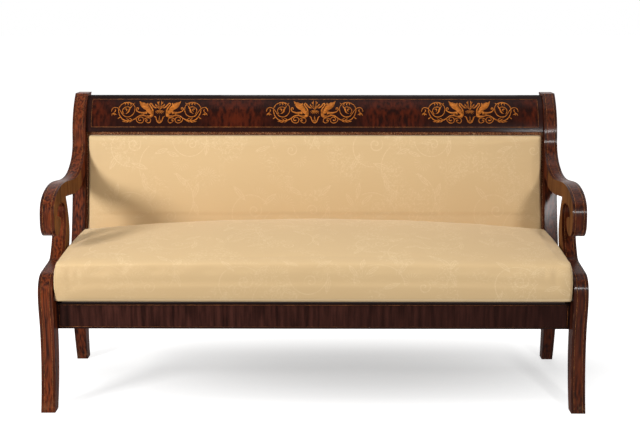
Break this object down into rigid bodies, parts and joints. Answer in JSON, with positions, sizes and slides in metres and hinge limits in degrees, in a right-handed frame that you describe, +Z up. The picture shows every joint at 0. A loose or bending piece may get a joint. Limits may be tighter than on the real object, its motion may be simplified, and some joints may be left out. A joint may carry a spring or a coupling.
{
  "type": "sofa",
  "caption": "Scroll-armed sofa with sabre legs, an inlaid rolled-back crest rail, a fixed upholstered back and a loose damask-covered seat that lifts off its rails.",
  "frame": {"origin": "on the floor, under the middle of the overall box", "axes": "+X along the sofa to the right as seen from the front, +Y from the front to the back, +Z up"},
  "size_m": [1.72, 0.748, 0.946],
  "materials": {
    "mahogany": "French-polished mahogany veneer",
    "softwood": "bare planed wood",
    "damask": "cream tone-on-tone damask",
    "braid": "woven brown braid",
    "webbing": "twill jute webbing",
    "hessian": "plain hessian",
    "stuffing": "calico-covered hair stuffing",
    "lining": "plain cotton cloth"
  },
  "bodies": {
    "frame": {"arm_dowels": "softwood", "arm_left": "mahogany", "arm_right": "mahogany", "arm_support_left": "mahogany", "arm_support_right": "mahogany", "back_braid": "braid", "back_cover": "damask", "back_pad": "stuffing", "back_rail_lower": "softwood", "back_upright_inner_left": "softwood", "back_upright_inner_right": "softwood", "back_upright_outer_left": "softwood", "back_upright_outer_right": "softwood", "back_webbing": "webbing", "corner_block_front_left": "softwood", "corner_block_front_right": "softwood", "corner_block_rear_left": "softwood", "corner_block_rear_right": "softwood", "crest_rail": "mahogany", "cross_rail": "softwood", "front_leg_left": "mahogany", "front_leg_right": "mahogany", "front_rail": "mahogany", "outside_back_cloth": "lining", "rear_post_left": "mahogany", "rear_post_right": "mahogany", "rear_rail": "softwood", "side_rail_left": "mahogany", "side_rail_right": "mahogany", "support_dowels": "softwood"},
    "seat": {"seat_brace_left": "softwood", "seat_brace_right": "softwood", "seat_cover": "damask", "seat_frame_front": "softwood", "seat_frame_left": "softwood", "seat_frame_rear": "softwood", "seat_frame_right": "softwood", "seat_hessian": "hessian", "seat_pad": "stuffing", "seat_webbing_cross": "webbing", "seat_webbing_long": "webbing"}
  },
  "joints": [
    {"name": "seat_lift", "type": "slide", "parent": "frame", "child": "seat", "axis": [0, 0, 1], "range_m": [0, 0.3]}
  ]
}
